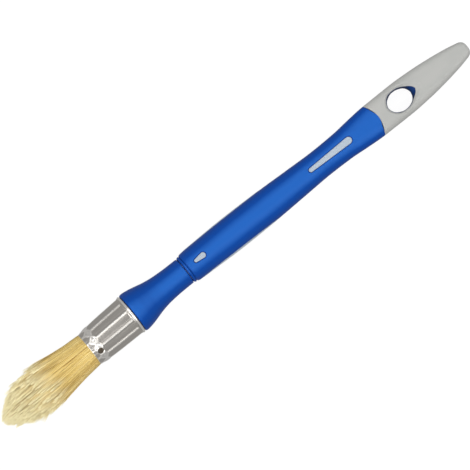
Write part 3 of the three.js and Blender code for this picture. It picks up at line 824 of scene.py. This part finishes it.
# The bristle tuft: a heart that blocks the light and four bundles of separate hairs, gathered in clumps.
tuft = {
    "seed": 7, "strands": 14400, "bundles": 4, "segments": 8, "rootAt": 56.5, "bellyAt": 28.0,
    "gather": 0.22, "shellPart": 0.4, "shellFrom": 0.88, "rootWidth": 0.32, "tipWidth": 0.12,
    "widthSpread": 0.25, "wander": 0.012, "firstEnd": 0.5, "lastEnd": 34.0, "endSpread": 0.7, "stepPower": 1.5,
    "clumps": 620, "clumpTone": 0.28, "clumpPull": 0.85, "clumpLength": 8.0, "clumpLift": 0.28,
    "clumpEnd": (-1.4, 1.8), "evenTip": 10.0, "spikePart": 0.12, "spikeReach": 2.0, "spikeLift": 0.3,
    "strayPart": 0.08, "strayOut": 1.2, "heartShare": 0.84, "heartSink": 0.25, "heartShadeTone": 0.3,
}
goldenTurn = turn * 0.61803399
tuftRadius = smoothThrough([
    (0, 0.5), (1.9, 1.7), (5.6, 4.2), (11.2, 7.5), (16, 9.4), (22, 10.3), (28, 10.9), (36, 10.05), (45, 9),
    (52, 8.45), (53, 7.7), (56, 8.05), (60, 8.45)])


# The tuft's radius as a share of the belly's: as drawn behind the belly, to the power gather before it.
def gathered(at):
    share = tuftRadius(at) / tuftRadius(tuft["bellyAt"])
    return np.where(at < tuft["bellyAt"], share ** tuft["gather"], share)


# Where a hair of a given share of the radius meets the tuft's outline, which is where it ends.
def endStation(share):
    fine = np.linspace(0, tuft["bellyAt"], 400)
    left = (tuftRadius(fine) / tuftRadius(tuft["bellyAt"])) ** (1 - tuft["gather"])
    return np.interp(share, left, fine)


# Solid heart of the tuft: a share of the outline's radius, with shallow furrows, which blocks the light. Its
# tone is darker than most hairs, as painted shade in the gaps between them.
def tuftHeart():
    angle = columnAngles(72)
    at = np.concatenate([[4.0, 4.6], np.linspace(5.4, tuft["rootAt"], 44)])[:, None]
    furrows = 1 + 0.015 * np.sin(9 * angle) + 0.01 * np.sin(23 * angle)
    radius = (tuftRadius(at) * tuft["heartShare"] - tuft["heartSink"]) * furrows
    rings = place(at, radius * np.cos(angle), radius * np.sin(angle))
    along = np.broadcast_to(0.5 * (1 - at / tuft["rootAt"]), radius.shape)
    # a dark tone: painted shade between the hairs
    uv = np.stack([np.full(radius.size, tuft["heartShadeTone"]), along.ravel()], axis=-1)
    return ringSurface("bristle_heart", rings, bristleLook, uv=uv)


# Middle lines of all hairs: a sunflower spread over the root, each hair keeping its share of the gathered
# radius and drawn over its last millimetres to the middle of its clump, so each clump ends in a point of its
# own. Some clumps reach further as spikes, and a few strays stand out. Returns at, y, z by hair and step, and
# a tone from 0 to 1 for each hair.
def hairLines(rng):
    t = tuft
    count, clumps, belly = t["strands"], t["clumps"], tuftRadius(t["bellyAt"])
    inShell = rng.random(count) < t["shellPart"]
    order = np.sqrt((np.arange(count) + 0.5) / count * 0.98 + 0.02)
    share = np.where(inShell, rng.uniform(t["shellFrom"], 1.0, count), order)
    angle = np.arange(count) * goldenTurn + rng.normal(0, 0.02, count)
    clumpShare = np.sqrt((np.arange(clumps) + 0.5) / clumps) + rng.normal(0, 0.012, clumps)
    clumpAngle = np.arange(clumps) * goldenTurn + rng.normal(0, 0.05, clumps)
    spotY, spotZ = share * np.cos(angle), share * np.sin(angle)
    centreY, centreZ = clumpShare * np.cos(clumpAngle), clumpShare * np.sin(clumpAngle)
    nearest = np.argmin((spotY[:, None] - centreY) ** 2 + (spotZ[:, None] - centreZ) ** 2, axis=1)

    spike = (rng.random(clumps) < t["spikePart"]) * rng.uniform(0.4, 1, clumps)
    clumpEnd = endStation(np.clip(clumpShare, 0, 1))
    uneven = rng.normal(*t["clumpEnd"], clumps) - t["spikeReach"] * spike
    clumpEnd = clumpEnd + uneven * np.clip(clumpEnd / t["evenTip"], 0.1, 1)
    end = clumpEnd[nearest] + rng.exponential(t["endSpread"], count)
    end = np.clip(end, rng.exponential(t["firstEnd"], count), t["lastEnd"])[:, None]
    step = 1 - (1 - np.linspace(0, 1, t["segments"] + 1)[None, :]) ** t["stepPower"]
    at = t["rootAt"] + (end - t["rootAt"]) * step

    pull = t["clumpPull"] * smoothStep(t["clumpLength"], 0, at - end)
    y = spotY[:, None] + (centreY[nearest] - spotY)[:, None] * pull
    z = spotZ[:, None] + (centreZ[nearest] - spotZ)[:, None] * pull
    size = gathered(np.maximum(at, 0)) * belly
    phase = rng.uniform(0, turn, (2, count, 1))
    wander = t["wander"] * belly * step
    y = y * size + wander * np.sin(phase[0] + 3.2 * step)
    z = z * size + wander * np.sin(phase[1] + 2.6 * step)
    stray = (rng.random(count) < t["strayPart"]) * rng.uniform(0.3, 1, count) * t["strayOut"]
    lift = (rng.exponential(t["clumpLift"], clumps) + t["spikeLift"] * spike)[nearest]
    out = 1 + (stray[:, None] * step**3 + lift[:, None] * pull**2) / np.maximum(np.hypot(y, z), 1.5)
    clumpTone = rng.random(clumps)[nearest]
    tone = t["clumpTone"] * clumpTone + (1 - t["clumpTone"]) * rng.random(count)
    return at, y * out, z * out, tone


# Three-sided hairs: round each middle line, kept above the table, a ring of three points whose width tapers
# towards the tip; the first coordinate is the hair's tone and the second runs from root to tip.
def hairBundle(name, at, y, z, tone, rng):
    count, steps = at.shape
    step = np.linspace(0, 1, steps)
    width = tuft["rootWidth"] + (tuft["tipWidth"] - tuft["rootWidth"]) * step**1.5
    thickest, thinnest = 1 + tuft["widthSpread"], 1 - tuft["widthSpread"]
    width = width[None, :] * rng.uniform(thinnest, thickest, (count, 1)) / 2
    twist = rng.uniform(0, turn, (count, 1))
    lines = place(at, y, z)
    lines[..., 2] = np.maximum(lines[..., 2], tuft["rootWidth"] * metre)
    around = twist[..., None] + np.arange(3) * turn / 3
    ring = np.stack([0 * around, np.cos(around), np.sin(around)], axis=-1)
    points = (lines[:, :, None] + width[..., None, None] * ring * metre).reshape(-1, 3)
    quads = gridQuads(steps, 3, False)
    triangles = np.array([[2, 1, 0], [steps * 3 - 3, steps * 3 - 2, steps * 3 - 1]])
    first = (np.arange(count) * steps * 3)[:, None, None]
    quads = (quads[None] + first).reshape(-1, 4)
    triangles = (triangles[None] + first).reshape(-1, 3)
    along = np.tile(np.repeat(step, 3), count)
    uv = np.stack([np.repeat(tone, steps * 3), along], axis=-1)
    return meshObject(name, points, quads, triangles, bristleLook, uv)


addPiece(tuftHeart(), "bristle_tuft")
hairRandom = np.random.default_rng(tuft["seed"])
allHairs = hairLines(hairRandom)
for bundle in range(tuft["bundles"]):
    lines = [values[bundle::tuft["bundles"]] for values in allHairs]
    addPiece(hairBundle(f"bristle_hairs_{bundle + 1}", *lines, hairRandom), "bristle_tuft")
print("tuft made")

# CAD nodes that stay: wholly inside the brush
kept = {"centre_plug": (turnedBeech(), "plug_wood"), "resin_set": (castEpoxy(), "resin")}
for node, (look, slotName) in kept.items():
    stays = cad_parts[node]
    stays.data.materials.clear()
    stays.data.materials.append(look)

# The studio: a table that glows faintly, two strips over the brush, a box off each end, and the camera.
studio = {"floorHalf": 3.0, "floorGlow": 0.93, "floorRoughness": 0.6, "white": "#FFFFFF",
          "worldStrength": 0.55, "distance": 1.0}
softboxes = {
    # degrees from straight up towards the tail and towards the right flank, length, width, radiance
    "left_strip": (0.0, -23.0, 1.3, 0.24, 2.0),
    "right_strip": (0.0, 29.0, 1.3, 0.28, 2.9),
    "tip_end_box": (-50.0, 0.0, 0.5, 0.9, 3.2),
    "tail_end_box": (52.0, 0.0, 0.4, 0.9, 2.6),
}
cameraView = {"towardsTipDeg": 1.9, "towardsRightDeg": 4.0, "axisTurnDeg": 39.05, "distance": 6.0,
              "lens": 986.0, "sensor": 36.0, "aim": (-0.00025, -0.0011, 0.0119), "clip": (0.1, 30)}


# A translucent table lit from below: near white even in the brush's own shade. It sends no light back onto
# the brush, whose flanks stay as dark as in a wide dim studio.
def studioFloor():
    half, glow, white = studio["floorHalf"], studio["floorGlow"], linear(studio["white"])
    mesh = bpy.data.meshes.new("floor")
    corners = [(-half, -half, 0), (half, -half, 0), (half, half, 0), (-half, half, 0)]
    mesh.from_pydata(corners, [], [(0, 1, 2, 3)])
    material, _, shader = newMaterial("glowing_acrylic_table", Roughness=studio["floorRoughness"])
    shader.inputs["Base Color"].default_value = [v * (1 - glow) for v in white[:3]] + [1.0]
    shader.inputs["Emission Color"].default_value = white
    shader.inputs["Emission Strength"].default_value = glow
    mesh.materials.append(material)
    floor = bpy.data.objects.new("floor", mesh)
    floor.visible_diffuse = floor.visible_glossy = False
    bpy.context.scene.collection.objects.link(floor)


# A rectangle of light at a set distance that faces the brush; its power is pi times area times radiance.
def softbox(name, towardsTail, towardsRight, length, width, radiance):
    data = bpy.data.lights.new(name, "AREA")
    data.shape = "RECTANGLE"
    data.size, data.size_y = length, width
    data.energy = math.pi * length * width * radiance
    back = Vector((math.tan(math.radians(towardsTail)), -math.tan(math.radians(towardsRight)), 1))
    back.normalize()
    along = (Vector((1, 0, 0)) - back * back.x).normalized()
    light = bpy.data.objects.new(name, data)
    bpy.context.scene.collection.objects.link(light)
    turned = Matrix((along, back.cross(along), back)).transposed().to_4x4()
    light.matrix_world = Matrix.Translation(back * studio["distance"]) @ turned


# The camera looks down on the lying brush, leant from straight above towards the bristle tip and towards the
# right flank, and rolled so that the brush runs up to the right.
def studioCamera():
    v = cameraView
    tipward, rightward = math.radians(v["towardsTipDeg"]), math.radians(v["towardsRightDeg"])
    back = Vector((-math.sin(tipward), -math.sin(rightward), 0))
    back.z = math.sqrt(1 - back.x**2 - back.y**2)
    axis = (Vector((1, 0, 0)) - back * back.x).normalized()
    across = back.cross(axis)
    roll = math.radians(v["axisTurnDeg"])
    right = math.cos(roll) * axis - math.sin(roll) * across
    up = math.sin(roll) * axis + math.cos(roll) * across
    data = bpy.data.cameras.new("camera")
    data.lens, data.sensor_width = v["lens"], v["sensor"]
    data.clip_start, data.clip_end = v["clip"]
    camera = bpy.data.objects.new("camera", data)
    bpy.context.scene.collection.objects.link(camera)
    turned = Matrix((right, up, back)).transposed().to_4x4()
    camera.matrix_world = Matrix.Translation(Vector(v["aim"]) + back * v["distance"]) @ turned
    bpy.context.scene.camera = camera


# Even light from all round, as white walls give.
def studioWorld():
    world = bpy.data.worlds.new("studio")
    world.use_nodes = True
    background = world.node_tree.nodes["Background"]
    background.inputs["Color"].default_value = linear(studio["white"])
    background.inputs["Strength"].default_value = studio["worldStrength"]
    bpy.context.scene.world = world


studioFloor()
for name, values in softboxes.items():
    softbox(name, *values)
studioWorld()
bpy.context.scene.view_settings.view_transform = "Standard"
studioCamera()
print("studio made")
